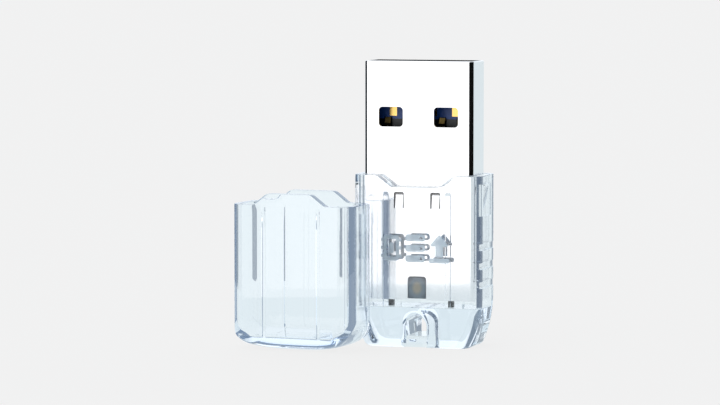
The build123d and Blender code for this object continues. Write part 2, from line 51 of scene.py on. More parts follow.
# ---------------------------------------------------------------- sizes of the clear mouldings, millimetres
HOUSING_W, HOUSING_T, HOUSING_CORNER_R = 14.0, 7.1, 1.6
RIM_Z, FLOOR_Z = 18.2, 4.15
TAPER_Z, TAPER_R, FOOT_CORNER_R, FOOT_EDGE_R = 5.3, 12.0, 0.4, 0.55
CAVITY_HALF_W, CAVITY_HALF_T, CAVITY_CORNER_R, CAVITY_FLOOR_R = 6.15, 2.37, 0.3, 0.12
NOTCH_DEPTH, NOTCH_TOP_HALF, NOTCH_FOOT_HALF, NOTCH_EASE = 1.2, 4.2, 2.6, 0.16
TONGUE_CLEARANCE = 0.12
GRIP_ZS, GRIP_HALF, GRIP_DEPTH, GRIP_FLANK = (6.7, 8.7, 10.7), 0.365, 0.2, 0.06
RIB_X, RIB_HALF_W, RIB_PROUD, RIB_TOP, RIB_LEAD = 3.42, 0.3, 0.09, 16.4, 0.3
RIB_FLANK = 0.06
POCKET_X, POCKET_HALF, POCKET_LOW, POCKET_HIGH = 6.6, 1.5, 13.9, 17.3
TUNNEL_HALF, TUNNEL_Z, TUNNEL_SPRING_Z = 1.2, 1.15, 2.2
MOUTH_R, MOUTH_FLARE, MOUTH_RISE, BAR_HALF, BAR_R = 0.55, 0.45, 0.2, 2.7, 0.6
RIM_EDGE_R, NOTCH_BASE_Z = 0.08, 16.45

CAP_W, CAP_T, CAP_CORNER_R = 13.8, 7.1, 2.0
CAP_RIM_Z, CAP_FLOOR_Z, CAP_SIDE_WALL, CAP_FACE_WALL = 15.3, 1.35, 0.8, 1.0
CAP_FOOT_R, CAP_FOOT_EDGE_R, CAP_INNER_R, CAP_INNER_EDGE_R = 2.9, 1.3, 2.0, 0.3
CAP_INNER_CORNER_R = 0.5
CAP_FACE_DOME, CAP_SIDE_DOME, CAP_FLAT_CUT = (5.5, 0.68), (2.6, 0.35), 0.05
CAP_RIB_X, CAP_RIB_HALF_W, CAP_RIB_PROUD, CAP_RIB_LEAD = 3.1, 0.2, 0.2, (0.6, 2.6)
CAP_PLACE, CAP_YAW = (-11.2, -7.4), -5.0

# Painted shade: the first colour on the next line darkens the shell steel's inner faces, the second the
# tongue below SPRING_ZONE_Z.
SHELL_INSIDE, SPRING_ZONE_Z = (5.73, 1.98), 24.0
SHELL_INSIDE_SHADE, SPRING_ZONE_SHADE = (0.12, 0.12, 0.125), (0.006, 0.009, 0.014)
PLASTIC_IOR, INK_COVER = 1.56, 0.6
MOST_MIRRORINGS, MOST_BOUNCES = 3.5, 11.5
# Frosted pipe: reach and colour of its painted glow in the middle and of its painted shade at the rim.
PIPE_PAINTED_GLOW_REACH, PIPE_RIM_SHADE_REACH = (0.25, 0.7), (0.7, 1.15)
PIPE_PAINTED_GLOW, PIPE_BODY, PIPE_RIM_SHADE = (0.55, 0.5, 0.38), (0.23, 0.31, 0.38), (0.08, 0.12, 0.17)

ARC_STEPS = 14
STATION = 0.16
SHARP_ANGLE = 38.0


# ---------------------------------------------------------------- mesh building
def smooth_step(value, soft):
    """0 below 0, 1 above 1 and a straight ramp between, its two corners rounded over a width."""
    def area(v):
        if v < 0:
            return 0.0
        return v * v / 2 if v < 1 else v - 0.5
    return (area(value + soft) - area(value - soft)) / (2 * soft)


def plateau(distance, half, flank):
    """1 on a band and 0 off it, with straight flanks inside its edges."""
    return min(1.0, max(0.0, (half - distance) / flank))


def arc_inset(radius, height):
    """How far a quarter round stands in at a height above its foot."""
    if height >= radius:
        return 0.0
    return radius - math.sqrt(radius ** 2 - (radius - max(height, 0)) ** 2)


def spread(stops, step):
    """Numbers from the first stop to the last, through all of them, at most a step apart."""
    numbers = [stops[0]]
    for low, high in zip(stops, stops[1:]):
        count = max(1, math.ceil((high - low) / step - 1e-6))
        numbers += [low + (high - low) * k / count for k in range(1, count + 1)]
    return numbers


def merged(*lists):
    """The numbers of some lists, in order. Where two nearly meet, the one from the later list stays."""
    kept = []
    for numbers in reversed(lists):
        kept += [n for n in numbers if all(abs(n - k) > 0.03 for k in kept)]
    return sorted(kept)


def mirrored(numbers):
    """The numbers and their negatives, in order."""
    return sorted({-n for n in numbers} | set(numbers))


def loop(half_w, half_t, radius, xs, ys):
    """A rounded rectangle as points, anticlockwise from its front left. The stations lie on the straight
    sides, and are pressed in where a side is shorter than they reach."""
    radius = max(0.0, min(radius, half_w, half_t))
    end_x, end_y = half_w - radius, half_t - radius
    press_x, press_y = min(1, end_x / xs[-1]), min(1, end_y / ys[-1])
    across = [-end_x, *(x * press_x for x in xs), end_x]
    along = [-end_y, *(y * press_y for y in ys), end_y]
    corner = [math.radians(90 * k / ARC_STEPS) for k in range(1, ARC_STEPS)]
    half = [(x, -half_t) for x in across]
    half += [(end_x + radius * math.sin(a), -end_y - radius * math.cos(a)) for a in corner]
    half += [(half_w, y) for y in along]
    half += [(end_x + radius * math.cos(a), end_y + radius * math.sin(a)) for a in corner]
    return half + [(-x, -y) for x, y in half]


def centre_line(half_w, half_t, radius, xs, ys):
    """The ring of a loop collapsed onto the middle of its width, to close a foot or a floor."""
    outline = loop(half_w, half_t, radius, xs, ys)
    reach = half_w - half_t
    return [(max(-reach, min(reach, x)), 0.0) for x, y in outline]


def skin(name, rings):
    """One closed piece skinned over rings of (x, y, z) points in millimetres, collapsed at both ends."""
    mesh = bmesh.new()
    rows = [[mesh.verts.new([c * MM for c in point]) for point in ring] for ring in rings]
    for low, high in zip(rows, rows[1:]):
        for k, start in enumerate(low):
            after = (k + 1) % len(low)
            mesh.faces.new((start, low[after], high[after], high[k]))
    bmesh.ops.remove_doubles(mesh, verts=mesh.verts, dist=0.0008 * MM)
    bmesh.ops.recalc_face_normals(mesh, faces=mesh.faces)
    return mesh_object(name, mesh)


def mesh_object(name, mesh):
    data = bpy.data.meshes.new(name)
    mesh.to_mesh(data)
    mesh.free()
    piece = bpy.data.objects.new(name, data)
    bpy.context.collection.objects.link(piece)
    return piece


def cut_away(piece, cutter):
    """Subtract a cutter from a piece, keeping the result as the piece's own mesh."""
    boolean = piece.modifiers.new("cut", "BOOLEAN")
    boolean.operation = "DIFFERENCE"
    boolean.solver = "EXACT"
    boolean.object = cutter
    bpy.context.view_layer.update()
    data = bpy.data.meshes.new_from_object(piece.evaluated_get(bpy.context.evaluated_depsgraph_get()))
    piece.modifiers.clear()
    piece.data = data
    bpy.data.objects.remove(cutter)


def smooth_flats(piece):
    """Smooth shading with sharp creases, and normals weighted by area so that flat faces stay flat."""
    piece.data.shade_smooth()
    piece.data.set_sharp_from_angle(angle=math.radians(SHARP_ANGLE))
    weighted = piece.modifiers.new("flats", "WEIGHTED_NORMAL")
    weighted.keep_sharp = True
    weighted.weight = 90


def wall_rings(outer, inner, low_z, top, edge, steps=6):
    """Rings up an outer wall, over a rim with rounded edges, and onto the inner wall."""
    rings = []
    for k in range(1, steps + 1):
        rings.append([(x, y, low_z + (top(x) - edge - low_z) * k / steps) for x, y in outer(0)])
    turns = [math.radians(a) for a in (18, 36, 54, 72, 90)]
    for a in turns:
        rings.append([(x, y, top(x) - edge * (1 - math.sin(a))) for x, y in outer(edge * (1 - math.cos(a)))])
    for a in reversed(turns):
        rings.append([(x, y, top(x) - edge * (1 - math.sin(a))) for x, y in inner(-edge * (1 - math.cos(a)))])
    rings.append([(x, y, top(x) - edge) for x, y in inner(0)])
    return rings


# ---------------------------------------------------------------- housing
def rim_drop(x, foot_half, top_half):
    """How far the rim's notch drops at x: a trapezoid with eased corners."""
    return NOTCH_DEPTH * (1 - smooth_step((abs(x) - foot_half) / (top_half - foot_half), NOTCH_EASE))


def housing_half_w(z):
    """Half the housing's width at a height: drawn in by an arc, then rounded at the foot."""
    drop = max(0.0, TAPER_Z - z)
    taper = TAPER_R - math.sqrt(TAPER_R ** 2 - drop ** 2)
    return HOUSING_W / 2 - taper - arc_inset(FOOT_CORNER_R, z)


def grip_depth(z):
    nearest = min(abs(z - grip) for grip in GRIP_ZS)
    return GRIP_DEPTH * plateau(nearest, GRIP_HALF, GRIP_FLANK)


def housing_stations():
    """Places along the housing's long and short sides where its mesh has a line."""
    slopes = spread([NOTCH_FOOT_HALF - 0.25, NOTCH_TOP_HALF + 0.25], 0.08)
    flanks = [RIB_X + side * reach for side in (-1, 1) for reach in (RIB_HALF_W - RIB_FLANK, RIB_HALF_W)]
    coarse = [x for x in spread([0, 5.3], STATION) if not NOTCH_FOOT_HALF - 0.3 < x < NOTCH_TOP_HALF + 0.3]
    edges = [POCKET_HALF - 0.02, POCKET_HALF + 0.02]
    return mirrored(merged(coarse, slopes, flanks)), mirrored(merged(spread([0, 1.7], STATION), edges))


def housing_foot(xs, ys):
    """From the middle of the foot out to its edge, up the rounded edges and the tapered sides."""
    half_w, half_t = housing_half_w(0), HOUSING_T / 2 - FOOT_EDGE_R
    corner = HOUSING_CORNER_R - FOOT_EDGE_R
    rings = [[(x, y, 0.0) for x, y in centre_line(half_w, half_t, corner, xs, ys)]]
    for inset in (2.4, 1.8, 1.2, 0.6, 0.0):
        rings.append([(x, y, 0.0) for x, y in loop(half_w - inset, half_t - inset, corner - inset, xs, ys)])
    return rings


def housing_levels():
    low = [FOOT_CORNER_R * (1 - math.cos(math.radians(a))) for a in range(9, 91, 9)]
    flank = [0.0, GRIP_FLANK]
    grips = [z + side * (GRIP_HALF - f) for z in GRIP_ZS for side in (-1, 1) for f in flank]
    return merged(low, spread([FOOT_CORNER_R, TAPER_Z, 14.0], 0.35), grips)


def make_housing():
    xs, ys = housing_stations()
    half_w, half_t = HOUSING_W / 2, HOUSING_T / 2

    def outer(inset):
        return loop(half_w - inset, half_t - inset, HOUSING_CORNER_R - inset, xs, ys)

    def inner(inset):
        return loop(CAVITY_HALF_W - inset, CAVITY_HALF_T - inset, CAVITY_CORNER_R - inset, xs, ys)

    def top(x):
        return RIM_Z - rim_drop(x, NOTCH_FOOT_HALF, NOTCH_TOP_HALF)

    rings = housing_foot(xs, ys)
    levels = housing_levels()
    for z in levels:
        inset = arc_inset(FOOT_EDGE_R, z)
        reach = min(housing_half_w(z), half_w - grip_depth(z))
        outline = loop(housing_half_w(z), half_t - inset, HOUSING_CORNER_R - inset, xs, ys)
        rings.append([(max(-reach, min(reach, x)), y, z) for x, y in outline])
    rings += wall_rings(outer, inner, levels[-1], top, RIM_EDGE_R, 16)
    rings += housing_hollow(inner, top, xs, ys)
    housing = skin("clear_housing", rings)
    cut_away(housing, lanyard_cutter())
    smooth_flats(housing)
    return housing


def housing_hollow(inner, top, xs, ys):
    """Down the cavity's walls, with their guide ribs and barb pockets, and over its floor."""
    rings = []
    low = FLOOR_Z + CAVITY_FLOOR_R
    pocket = [POCKET_HIGH, POCKET_HIGH - 0.02, POCKET_LOW + 0.02, POCKET_LOW]
    lead = [RIB_TOP + 0.02, *spread([RIB_TOP - RIB_LEAD, RIB_TOP], 0.06)]
    round_off = [FLOOR_Z + CAVITY_FLOOR_R * (1 - math.cos(math.radians(a))) for a in range(15, 91, 15)]
    levels = merged(spread([low, 16.6], 0.8), lead, pocket, round_off)
    near_rim = spread([16.6, RIM_Z - 0.15], 0.2)
    for z in reversed(merged(levels, near_rim)):
        share = max(0.0, (z - NOTCH_BASE_Z) / (RIM_Z - NOTCH_BASE_Z))
        fall = plateau(z, RIB_TOP, RIB_LEAD)
        in_pocket = POCKET_LOW + 0.01 < z < POCKET_HIGH - 0.01
        ring = []
        for x, y in inner(arc_inset(CAVITY_FLOOR_R, z - FLOOR_Z)):
            rib = fall * RIB_PROUD * plateau(abs(abs(x) - RIB_X), RIB_HALF_W, RIB_FLANK)
            if abs(y) > CAVITY_HALF_T - CAVITY_FLOOR_R - 0.05:
                y = math.copysign(abs(y) - rib, y)
            if in_pocket and abs(x) > CAVITY_HALF_W - 0.001 and abs(y) < POCKET_HALF:
                x = math.copysign(POCKET_X, x)
            ring.append((x, y, z - (RIM_Z - top(x)) * share))
        rings.append(ring)
    half_w, half_t = CAVITY_HALF_W - CAVITY_FLOOR_R, CAVITY_HALF_T - CAVITY_FLOOR_R
    for inset in (0.0, 0.7, 1.4):
        rings.append([(x, y, FLOOR_Z) for x, y in loop(half_w - inset, half_t - inset, 0.3, xs, ys)])
    rings.append([(x, y, FLOOR_Z) for x, y in centre_line(half_w, half_t, 0.3, xs, ys)])
    return rings


def lanyard_cutter():
    """The cord's tunnel as rings along Y: an arch that flares at its mouths, over a rounded bar."""
    half_t = HOUSING_T / 2
    bends = [BAR_HALF - BAR_R + BAR_R * math.sin(math.radians(a)) for a in range(0, 90, 6)]
    flares = [half_t - MOUTH_R * math.cos(math.radians(a)) for a in range(90, -1, -6)]
    outs = merged([0, 0.7, 1.4], bends, [BAR_HALF, BAR_HALF + 0.01], flares, [half_t + 0.4])
    crown = [math.radians(3 * k) for k in range(61)]
    rings = []
    for y in mirrored(outs):
        out = abs(y)
        flare = MOUTH_FLARE * (1 - math.sqrt(max(0.0, 1 - (max(0.0, out - half_t + MOUTH_R) / MOUTH_R) ** 2)))
        flare = min(flare, MOUTH_FLARE)
        half = TUNNEL_HALF + flare
        bend = max(0.0, out - BAR_HALF + BAR_R) / BAR_R
        floor = TUNNEL_Z - BAR_R * (1 - math.sqrt(1 - bend ** 2)) if bend < 1 else -0.6
        spring = TUNNEL_SPRING_Z + MOUTH_RISE * flare / MOUTH_FLARE
        arch = [(half * math.cos(a), y, spring + half * math.sin(a)) for a in crown]
        foot = [(half * k, y, floor) for k in (-1, -0.5, 0, 0.5, 1)]
        rings.append(arch + foot)
    first, last = rings[0], rings[-1]
    middle = [(0.0, first[0][1], 1.0)] * len(first)
    rings = [middle, *rings, [(0.0, last[0][1], 1.0)] * len(last)]
    return skin("lanyard_cutter", rings)


# ---------------------------------------------------------------- cap
def dome_height(place, dome):
    """Height of a shallow domed foot at a place off its middle, lowered a little to stand flat."""
    half_chord, sag = dome
    radius = (half_chord ** 2 + sag ** 2) / (2 * sag)
    return radius - math.sqrt(radius ** 2 - place ** 2) - CAP_FLAT_CUT


def domed_foot(place, half, dome, corner_r):
    """The foot's profile across a width: a dome joined to an upright wall by a rounded corner."""
    half_chord, sag = dome
    radius = (half_chord ** 2 + sag ** 2) / (2 * sag)
    centre = half - corner_r
    centre_z = radius - CAP_FLAT_CUT - math.sqrt((radius - corner_r) ** 2 - centre ** 2)
    place = min(abs(place), half)
    touch = centre * radius / (radius - corner_r)
    if place <= touch:
        return dome_height(place, dome)
    return centre_z - math.sqrt(max(0.0, corner_r ** 2 - (place - centre) ** 2))


def cap_foot_z(x, y):
    """The outer foot's height: the two domed profiles together, flat where they dip below the stand."""
    across = max(0.0, domed_foot(x, CAP_W / 2, CAP_FACE_DOME, CAP_FOOT_R))
    deep = max(0.0, domed_foot(y, CAP_T / 2, CAP_SIDE_DOME, CAP_FOOT_EDGE_R))
    return math.hypot(across, deep)


def cap_stations():
    low, high = NOTCH_FOOT_HALF - TONGUE_CLEARANCE, NOTCH_TOP_HALF - TONGUE_CLEARANCE
    slopes = spread([low - 0.25, high + 0.25], 0.08)
    reaches = (CAP_RIB_HALF_W - RIB_FLANK, CAP_RIB_HALF_W)
    edges = [CAP_RIB_X + side * reach for side in (-1, 1) for reach in reaches]
    coarse = [x for x in spread([0, 4.8], STATION) if not low - 0.3 < x < high + 0.3]
    return mirrored(merged(coarse, slopes, edges)), mirrored(spread([0, 1.5], STATION))


def make_cap():
    xs, ys = cap_stations()
    half_w, half_t = CAP_W / 2, CAP_T / 2
    inner_w, inner_t = half_w - CAP_SIDE_WALL, half_t - CAP_FACE_WALL
    inner_corner = CAP_INNER_CORNER_R

    def outer(inset):
        return loop(half_w - inset, half_t - inset, CAP_CORNER_R - inset, xs, ys)

    def inner(inset):
        return loop(inner_w - inset, inner_t - inset, inner_corner - inset, xs, ys)

    def top(x):
        rise = rim_drop(x, NOTCH_FOOT_HALF - TONGUE_CLEARANCE, NOTCH_TOP_HALF - TONGUE_CLEARANCE)
        return CAP_RIM_Z + rise

    rings = [[(x, y, cap_foot_z(x, y)) for x, y in centre_line(half_w, half_t, CAP_CORNER_R, xs, ys)]]
    near_edge = [0.35 * (1 - math.cos(math.radians(a))) for a in range(18, 91, 18)]
    insets = merged(spread([0.35, 3.5], 0.16), near_edge)
    for inset in reversed(insets):
        rings.append([(x, y, cap_foot_z(x, y)) for x, y in outer(inset)])
    side_z = max(cap_foot_z(x, y) for x, y in outer(0))
    for share in (0.0, 0.1, 0.3, 0.6, 1.0):
        edge = [(x, y, cap_foot_z(x, y)) for x, y in outer(0)]
        rings.append([(x, y, z + (side_z + 0.5 - z) * share) for x, y, z in edge])
    rings += wall_rings(outer, inner, side_z + 0.5, top, RIM_EDGE_R, 14)
    rings += cap_hollow(inner, top, inner_w, inner_t)
    rings.append([(x, y, CAP_FLOOR_Z) for x, y in centre_line(inner_w - 1, inner_t, inner_corner, xs, ys)])
    cap = skin("clear_cap", rings)
    turn = Matrix.Rotation(math.radians(CAP_YAW), 4, "Z")
    cap.data.transform(Matrix.Translation((CAP_PLACE[0] * MM, CAP_PLACE[1] * MM, 0)) @ turn)
    smooth_flats(cap)
    return cap


def cap_hollow(inner, top, inner_w, inner_t):
    """Down the cap's inner walls with their ribs, round its inner corners and over its floor."""
    rib_top, rib_full = (CAP_RIM_Z - lead for lead in CAP_RIB_LEAD)
    low = CAP_FLOOR_Z + CAP_INNER_R
    levels = merged([low, low + 1.5, low + 4, low + 7], spread([rib_full, rib_top], 0.25), [rib_top + 0.2])
    rings = []
    for z in [*(CAP_RIM_Z - RIM_EDGE_R - 0.1 * k for k in range(4)), *reversed(levels)]:
        share = max(0.0, (z - rib_full) / (CAP_RIM_Z - rib_full))
        lift = min(1.0, max(0.0, (rib_top - z) / (rib_top - rib_full)))
        ring = [(x, y, z + (top(x) - CAP_RIM_Z) * share) for x, y in inner(0)]
        rings.append([cap_inner_point(*point, lift, inner_t) for point in ring])
    for inset in [CAP_INNER_R * (1 - math.cos(math.radians(a))) for a in range(9, 91, 9)] + [2.2, 2.4]:
        ring = []
        for x, y in inner(inset):
            side = arc_inset_height(CAP_INNER_R, inner_w - abs(x))
            face = arc_inset_height(CAP_INNER_EDGE_R, inner_t - abs(y))
            ring.append(cap_inner_point(x, y, CAP_FLOOR_Z + max(side, face), 1.0, inner_t))
        rings.append(ring)
    return rings


def arc_inset_height(radius, inset):
    """How high a quarter round stands above the floor at a place inside its wall."""
    if inset >= radius:
        return 0.0
    return radius - math.sqrt(radius ** 2 - (radius - max(inset, 0)) ** 2)


def cap_inner_point(x, y, z, lift, inner_t):
    """A point of the inner wall, pushed in where a rib runs down it."""
    rib = lift * CAP_RIB_PROUD * plateau(abs(abs(x) - CAP_RIB_X), CAP_RIB_HALF_W, RIB_FLANK)
    if abs(y) > inner_t - CAP_RIB_PROUD:
        y = math.copysign(min(abs(y), inner_t - rib), y)
    return (x, y, z)


# ---------------------------------------------------------------- materials
def new_material(name):
    """A node material; returns it with its tree and its Principled shader."""
    material = bpy.data.materials.new(name)
    material.use_nodes = True
    return material, *parts_of(material)


def parts_of(material):
    """A material's tree and its Principled shader."""
    return material.node_tree, material.node_tree.nodes["Principled BSDF"]


def add_node(tree, kind, **settings):
    """Add a node and set its inputs by name, or its own settings where no input has that name."""
    node = tree.nodes.new(kind)
    for key, value in settings.items():
        if key in node.inputs:
            node.inputs[key].default_value = value
        else:
            setattr(node, key, value)
    return node


def place_vector(tree, scale):
    """Object coordinates stretched by a scale on each axis."""
    coords = add_node(tree, "ShaderNodeTexCoord")
    mapping = add_node(tree, "ShaderNodeMapping")
    mapping.inputs["Scale"].default_value = scale
    tree.links.new(coords.outputs["Object"], mapping.inputs["Vector"])
    return mapping.outputs["Vector"]


def noise(tree, scale, stretch=(1, 1, 1), detail=3.0):
    node = add_node(tree, "ShaderNodeTexNoise", Scale=scale, Detail=detail)
    tree.links.new(place_vector(tree, stretch), node.inputs["Vector"])
    return node.outputs["Fac"]


def remap(tree, value, low, high):
    node = add_node(tree, "ShaderNodeMapRange")
    node.inputs["To Min"].default_value = low
    node.inputs["To Max"].default_value = high
    tree.links.new(value, node.inputs["Value"])
    return node.outputs["Result"]


def bump(tree, shader, height, distance, strength=0.3):
    node = add_node(tree, "ShaderNodeBump", Strength=strength, Distance=distance)
    tree.links.new(height, node.inputs["Height"])
    tree.links.new(node.outputs["Normal"], shader.inputs["Normal"])


def mixed(tree, fac, low, high):
    """Two colours mixed by a factor; either may be a socket or a colour."""
    mix = add_node(tree, "ShaderNodeMix", data_type="RGBA")
    for socket, value in ((mix.inputs["A"], low), (mix.inputs["B"], high)):
        if isinstance(value, bpy.types.NodeSocket):
            tree.links.new(value, socket)
        else:
            socket.default_value = (*value, 1)
    tree.links.new(fac, mix.inputs["Factor"])
    return mix.outputs["Result"]


def two_colours(tree, shader, fac, low, high):
    """Colour that drifts between two values with a texture."""
    tree.links.new(mixed(tree, fac, low, high), shader.inputs["Base Color"])


def clear_plastic(name, tint, density, painted_glow):
    """Polished polycarbonate: refracting, faintly blue through its thickness. Where a path has mirrored or
    bounced more than a set number of times, the surface gives off an even painted glow, standing in for light
    trapped between its walls, which the renderer gives up on."""
    material, tree, shader = new_material(name)
    shader.inputs["Base Color"].default_value = (1, 1, 1, 1)
    shader.inputs["Transmission Weight"].default_value = 1.0
    shader.inputs["IOR"].default_value = PLASTIC_IOR
    roughness = remap(tree, noise(tree, 900), 0.0, 0.02)
    tree.links.new(roughness, shader.inputs["Roughness"])
    absorb = add_node(tree, "ShaderNodeVolumeAbsorption", Density=density)
    absorb.inputs["Color"].default_value = (*tint, 1)
    path = add_node(tree, "ShaderNodeLightPath")
    mirrored_often = math_node(tree, "GREATER_THAN", path.outputs["Glossy Depth"], MOST_MIRRORINGS)
    long_way = math_node(tree, "GREATER_THAN", path.outputs["Ray Depth"], MOST_BOUNCES)
    # Painted glow: an even tone given off where a path has mirrored or bounced too often.
    shader.inputs["Emission Color"].default_value = (*painted_glow, 1)
    tree.links.new(math_node(tree, "MAXIMUM", mirrored_often, long_way), shader.inputs["Emission Strength"])
    tree.links.new(absorb.outputs["Volume"], tree.nodes["Material Output"].inputs["Volume"])
    return material


def object_axes(tree):
    """Object coordinates as three sockets."""
    coords = add_node(tree, "ShaderNodeTexCoord")
    split = add_node(tree, "ShaderNodeSeparateXYZ")
    tree.links.new(coords.outputs["Object"], split.inputs["Vector"])
    return [split.outputs[axis] for axis in "XYZ"]


def bright_steel(name, colour, rough, grain):
    """Stamped plated steel: bright, with a fine drawn grain along its height."""
    material, tree, shader = new_material(name)
    shader.inputs["Metallic"].default_value = 1.0
    fine = noise(tree, 2500, (1, 1, 0.12), 4)
    tree.links.new(remap(tree, fine, rough * 0.7, rough * 1.4), shader.inputs["Roughness"])
    two_colours(tree, shader, noise(tree, 350), [c * 0.97 for c in colour], colour)
    bump(tree, shader, fine, grain)
    return material


def plug_steel():
    """The shell's steel, bright outside, with painted shade inside: its colour turns dark where a point lies
    within the shell's inside width and depth.
    """
    material = bright_steel("shell_steel", (0.9, 0.9, 0.91), 0.08, 0.000002)
    tree, shader = parts_of(material)
    x, y = object_axes(tree)[:2]
    within = [math_node(tree, "LESS_THAN", math_node(tree, "ABSOLUTE", axis), half * MM)
              for axis, half in zip((x, y), SHELL_INSIDE)]
    bright = shader.inputs["Base Color"].links[0].from_socket
    fac = math_node(tree, "MULTIPLY", *within)
    # Painted shade: points inside the shell take the dark colour.
    tree.links.new(mixed(tree, fac, bright, SHELL_INSIDE_SHADE), shader.inputs["Base Color"])
    return material


def insulator_blue():
    """Blue tongue, painted near black below a height: painted shade over its spring slots."""
    material = moulded("blue_insulator", (0.012, 0.075, 0.34), 0.35)
    tree, shader = parts_of(material)
    height = object_axes(tree)[2]
    blue = shader.inputs["Base Color"].links[0].from_socket
    low = math_node(tree, "LESS_THAN", height, SPRING_ZONE_Z * MM)
    # Painted shade: below the spring zone's top the tongue takes a near-black colour.
    tree.links.new(mixed(tree, low, blue, SPRING_ZONE_SHADE), shader.inputs["Base Color"])
    return material


def thin_ink():
    """Pad-printed ink, thin enough to let some of the metal's light through."""
    material = moulded("print_ink", (0.76, 0.9, 1.0), 0.45)
    parts_of(material)[1].inputs["Alpha"].default_value = INK_COVER
    return material


def moulded(name, colour, rough, metal=0.0, grain=0.00002, speck=1800):
    """Moulded plastic, epoxy, ceramic or plated metal with a fine surface grain."""
    material, tree, shader = new_material(name)
    shader.inputs["Metallic"].default_value = metal
    fine = noise(tree, speck)
    tree.links.new(remap(tree, fine, rough * 0.8, rough * 1.2), shader.inputs["Roughness"])
    two_colours(tree, shader, noise(tree, speck / 4), [c * 0.85 for c in colour], colour)
    bump(tree, shader, fine, grain)
    return material


def frosted_pipe():
    """Frosted acrylic in front of the LED: blue-grey, with a painted warm glow in its middle for the
    LED's chip seen blurred through it, and painted shade towards its rim.
    """
    material, tree, shader = new_material("frosted_pipe")
    low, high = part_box("light_pipe")
    coords = add_node(tree, "ShaderNodeTexCoord")
    mapping = add_node(tree, "ShaderNodeMapping")
    mapping.inputs["Location"].default_value = [-(a + b) / 2 for a, b in zip(low, high)]
    tree.links.new(coords.outputs["Object"], mapping.inputs["Vector"])
    flatten = add_node(tree, "ShaderNodeMapping")
    flatten.inputs["Scale"].default_value = (1, 0, 0.8)
    tree.links.new(mapping.outputs["Vector"], flatten.inputs["Vector"])
    length = add_node(tree, "ShaderNodeVectorMath", operation="LENGTH")
    tree.links.new(flatten.outputs["Vector"], length.inputs[0])
    fades = []
    for near, far in (PIPE_PAINTED_GLOW_REACH, PIPE_RIM_SHADE_REACH):
        fade = add_node(tree, "ShaderNodeMapRange", interpolation_type="SMOOTHSTEP")
        fade.inputs["From Min"].default_value = near * MM
        fade.inputs["From Max"].default_value = far * MM
        tree.links.new(length.outputs["Value"], fade.inputs["Value"])
        fades.append(fade.outputs["Result"])
    # Painted glow in the middle, then painted shade towards the rim.
    body = mixed(tree, fades[0], PIPE_PAINTED_GLOW, PIPE_BODY)
    tree.links.new(mixed(tree, fades[1], body, PIPE_RIM_SHADE), shader.inputs["Base Color"])
    tree.links.new(remap(tree, noise(tree, 2000), 0.35, 0.55), shader.inputs["Roughness"])
    return material


def make_materials():
    return {
        # The last colour of each clear plastic is its painted glow.
        "clear_housing": clear_plastic("clear_housing", (0.72, 0.86, 1.0), 45, (0.08, 0.1, 0.13)),
        "clear_cap": clear_plastic("clear_cap", (0.66, 0.82, 1.0), 60, (0.14, 0.17, 0.21)),
        "shell_steel": plug_steel(),
        "blue_insulator": insulator_blue(),
        "gold_contact": moulded("gold_contact", (1.0, 0.68, 0.22), 0.22, 1.0, 0.000004),
        # The spring gold is the contact gold darkened: painted shade over the springs deep in the plug.
        "gold_spring": moulded("gold_spring", (0.42, 0.3, 0.1), 0.3, 1.0, 0.000004),
        "board_mask": moulded("board_mask", (0.16, 0.22, 0.3), 0.3),
        "chip_black": moulded("chip_black", (0.018, 0.018, 0.02), 0.5),
        "tin_lead": moulded("tin_lead", (0.82, 0.82, 0.8), 0.28, 1.0, 0.000008),
        "crystal_can": bright_steel("crystal_can", (0.8, 0.79, 0.76), 0.25, 0.000006),
        "frosted_pipe": frosted_pipe(),
        "led_body": moulded("led_body", (0.85, 0.68, 0.4), 0.3),
        "ceramic_tan": moulded("ceramic_tan", (0.4, 0.27, 0.15), 0.45),
        "resistor_black": moulded("resistor_black", (0.03, 0.03, 0.035), 0.3),
        "ferrite_grey": moulded("ferrite_grey", (0.09, 0.09, 0.095), 0.6),
        "holder_black": moulded("holder_black", (0.02, 0.02, 0.022), 0.45),
        "film_amber": moulded("film_amber", (0.5, 0.22, 0.03), 0.25),
        "pad_grey": moulded("pad_grey", (0.3, 0.32, 0.34), 0.7),
        "print_ink": thin_ink(),
    }


def dress_cad_nodes(materials):
    """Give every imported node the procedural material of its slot."""
    for part in frame["record"]["subparts"]:
        node = frame["nodes"][part["node"]]
        node.data.materials.clear()
        node.data.materials.append(materials[part["material_slot"]])


# ---------------------------------------------------------------- studio
PAPER = 0.888
FRONT_LIGHT = (1.45, 1.45, 1.45)
BACK_LEFT_LIGHT = (1.03, 1.10, 1.17)
BACK_RIGHT_LIGHT = (0.84, 0.91, 0.95)
TOP_LIGHT = (1.3, 1.33, 1.36)
TOP_SHADE = (0.3, 0.32, 0.34)
SIDE_SHADE = (0.10, 0.13, 0.17)
FLOOR_RADIUS = 6.0
FLOOR_SEEN_THROUGH = (0.72, 0.765, 0.81)
FLOOR_MIRRORED = (0.74, 0.82, 0.85)
FLOOR_BOUNCE = (0.3, 0.31, 0.32)
DIFFUSE_FILL = 2.2
FLOOR_GLOW, FLOOR_DIFFUSE = 0.943, 0.03
CARD_HEIGHT, CARD_STEPS = 0.12, 32
CARD_LIGHT = (1.5, 1.5, 1.5)
CARD_SHADE = (0.2, 0.26, 0.33)
FLAG_LEFT = (0.03, 0.035, 0.045)
BLACK = (0.004, 0.004, 0.004)


def glowing(name, colour):
    """A card's material: an even glow with the faintest mottle."""
    material, tree, shader = new_material(name)
    shader.inputs["Roughness"].default_value = 1.0
    shader.inputs["Specular IOR Level"].default_value = 0.0
    shader.inputs["Base Color"].default_value = (0, 0, 0, 1)
    mix = mixed(tree, noise(tree, 40), [c * 0.99 for c in colour], colour)
    tree.links.new(mix, shader.inputs["Emission Color"])
    shader.inputs["Emission Strength"].default_value = 1.0
    return material


